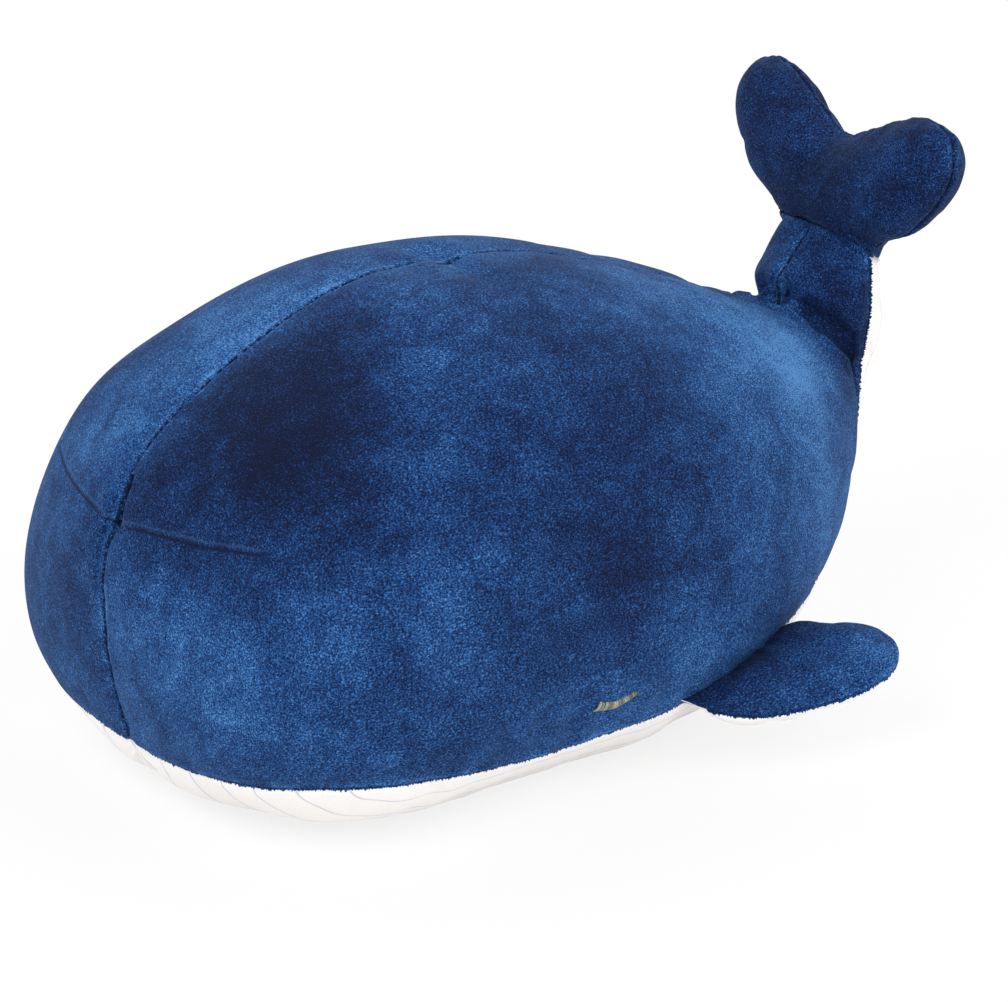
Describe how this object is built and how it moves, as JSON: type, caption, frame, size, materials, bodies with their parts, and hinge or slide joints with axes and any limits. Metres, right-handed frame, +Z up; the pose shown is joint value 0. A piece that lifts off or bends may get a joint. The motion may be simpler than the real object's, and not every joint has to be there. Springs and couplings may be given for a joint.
{
  "type": "whale bolster cushion",
  "caption": "Plump whale-shaped bolster cushion in short-pile plush, with a pleated pale belly panel, side fins that flap on fabric hinges, upright tail flukes and stitched closed eyes.",
  "frame": {"origin": "on the resting surface, under the middle of the bounding box", "axes": "+Z up, the nose towards -Y and the tail towards +Y, the whale's left side at +X"},
  "size_m": [0.3832, 0.5454, 0.3251],
  "materials": {
    "blue_plush": "deep blue short-pile plush with brushed patches of nap",
    "white_plush": "warm white short-pile plush with fine pale pleat lines",
    "fibre_filling": "loose white polyester fibre",
    "satin_thread": "grey-olive satin-stitch thread"
  },
  "bodies": {
    "cushion": {"back_panel_left": "blue_plush", "back_panel_right": "blue_plush", "belly_panel": "white_plush", "body_filling": "fibre_filling", "tail_filling": "fibre_filling", "fluke_front_panel": "blue_plush", "fluke_rear_panel": "blue_plush", "fluke_filling": "fibre_filling", "eye_left_embroidery": "satin_thread", "eye_right_embroidery": "satin_thread"},
    "fin_left": {"fin_left_upper_panel": "blue_plush", "fin_left_lower_panel": "white_plush", "fin_left_filling": "fibre_filling"},
    "fin_right": {"fin_right_upper_panel": "blue_plush", "fin_right_lower_panel": "white_plush", "fin_right_filling": "fibre_filling"}
  },
  "joints": [
    {"name": "fin_left_flap", "type": "hinge", "parent": "cushion", "child": "fin_left", "pos_m": [0.1434, 0.0544, 0.0499], "axis": [0.2064, -0.96, -0.189], "range_deg": [-20, 25], "stiffness_Nm_per_rad": 0.08},
    {"name": "fin_right_flap", "type": "hinge", "parent": "cushion", "child": "fin_right", "pos_m": [-0.1434, 0.0544, 0.0499], "axis": [0.2064, 0.96, 0.189], "range_deg": [-20, 25], "stiffness_Nm_per_rad": 0.08}
  ]
}
